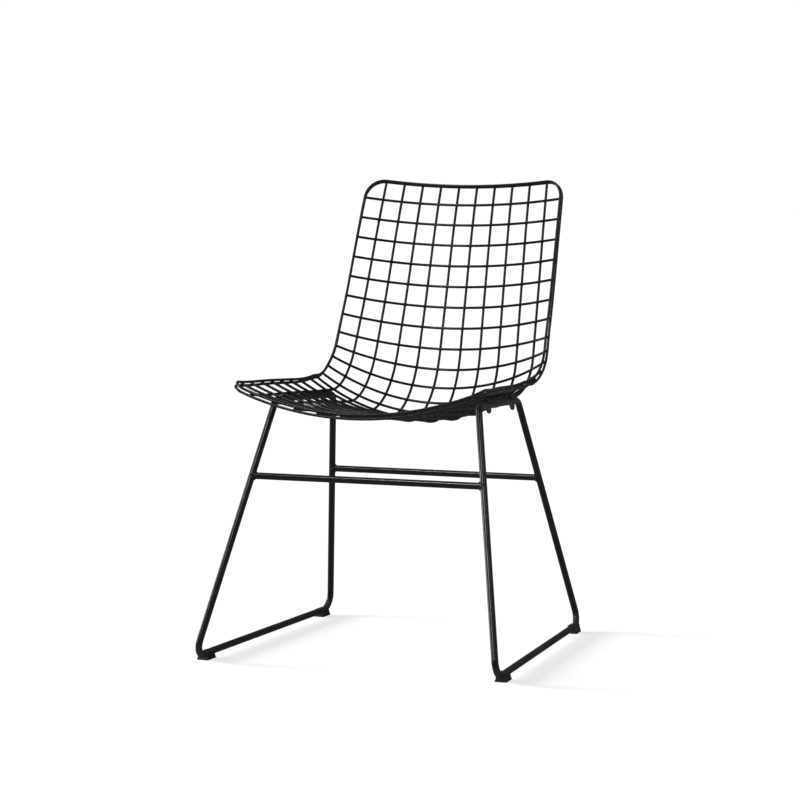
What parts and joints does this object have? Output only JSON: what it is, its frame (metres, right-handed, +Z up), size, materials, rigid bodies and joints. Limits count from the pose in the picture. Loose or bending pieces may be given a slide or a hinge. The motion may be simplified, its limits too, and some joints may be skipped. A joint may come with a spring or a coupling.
{
  "type": "wire mesh side chair",
  "caption": "Black wire mesh dining chair: a dished grid seat and back in one shell, rimmed by paired rods, on two leaning sled frames with crossbars and floor glides.",
  "frame": {"origin": "on the floor, under the middle of the chair's overall box", "axes": "+Z up, the sitter faces -Y, +X to the right as seen from the front of the chair; the chair is symmetric across the plane X = 0"},
  "size_m": [0.5166, 0.5967, 0.7624],
  "materials": {
    "wire_coating": "satin black powder coat",
    "frame_coating": "satin black powder coat",
    "fastener_coating": "black plated",
    "stud_steel": "zinc plated",
    "glide_plastic": "moulded, matt"
  },
  "bodies": {
    "root": {"cap_nuts": "fastener_coating", "crosswise_wire_01": "wire_coating", "crosswise_wire_02": "wire_coating", "crosswise_wire_03": "wire_coating", "crosswise_wire_04": "wire_coating", "crosswise_wire_05": "wire_coating", "crosswise_wire_06": "wire_coating", "crosswise_wire_07": "wire_coating", "crosswise_wire_08": "wire_coating", "crosswise_wire_09": "wire_coating", "crosswise_wire_10": "wire_coating", "crosswise_wire_11": "wire_coating", "crosswise_wire_12": "wire_coating", "crosswise_wire_13": "wire_coating", "crosswise_wire_14": "wire_coating", "crosswise_wire_15": "wire_coating", "crosswise_wire_16": "wire_coating", "crosswise_wire_17": "wire_coating", "crosswise_wire_18": "wire_coating", "crosswise_wire_19": "wire_coating", "crosswise_wire_20": "wire_coating", "crosswise_wire_21": "wire_coating", "edge_rod_inner": "wire_coating", "edge_rod_outer": "wire_coating", "front_crossbar": "frame_coating", "front_crossbar_welds": "frame_coating", "glide_left_front": "glide_plastic", "glide_left_rear": "glide_plastic", "glide_right_front": "glide_plastic", "glide_right_rear": "glide_plastic", "lengthwise_wire_01": "wire_coating", "lengthwise_wire_02": "wire_coating", "lengthwise_wire_03": "wire_coating", "lengthwise_wire_04": "wire_coating", "lengthwise_wire_05": "wire_coating", "lengthwise_wire_06": "wire_coating", "lengthwise_wire_07": "wire_coating", "lengthwise_wire_08": "wire_coating", "lengthwise_wire_09": "wire_coating", "lengthwise_wire_10": "wire_coating", "mounting_pad_left_front": "frame_coating", "mounting_pad_left_rear": "frame_coating", "mounting_pad_right_front": "frame_coating", "mounting_pad_right_rear": "frame_coating", "mounting_studs": "stud_steel", "rear_crossbar": "frame_coating", "rear_crossbar_welds": "frame_coating", "sled_frame_left": "frame_coating", "sled_frame_right": "frame_coating", "stud_washers": "fastener_coating"}
  },
  "joints": []
}
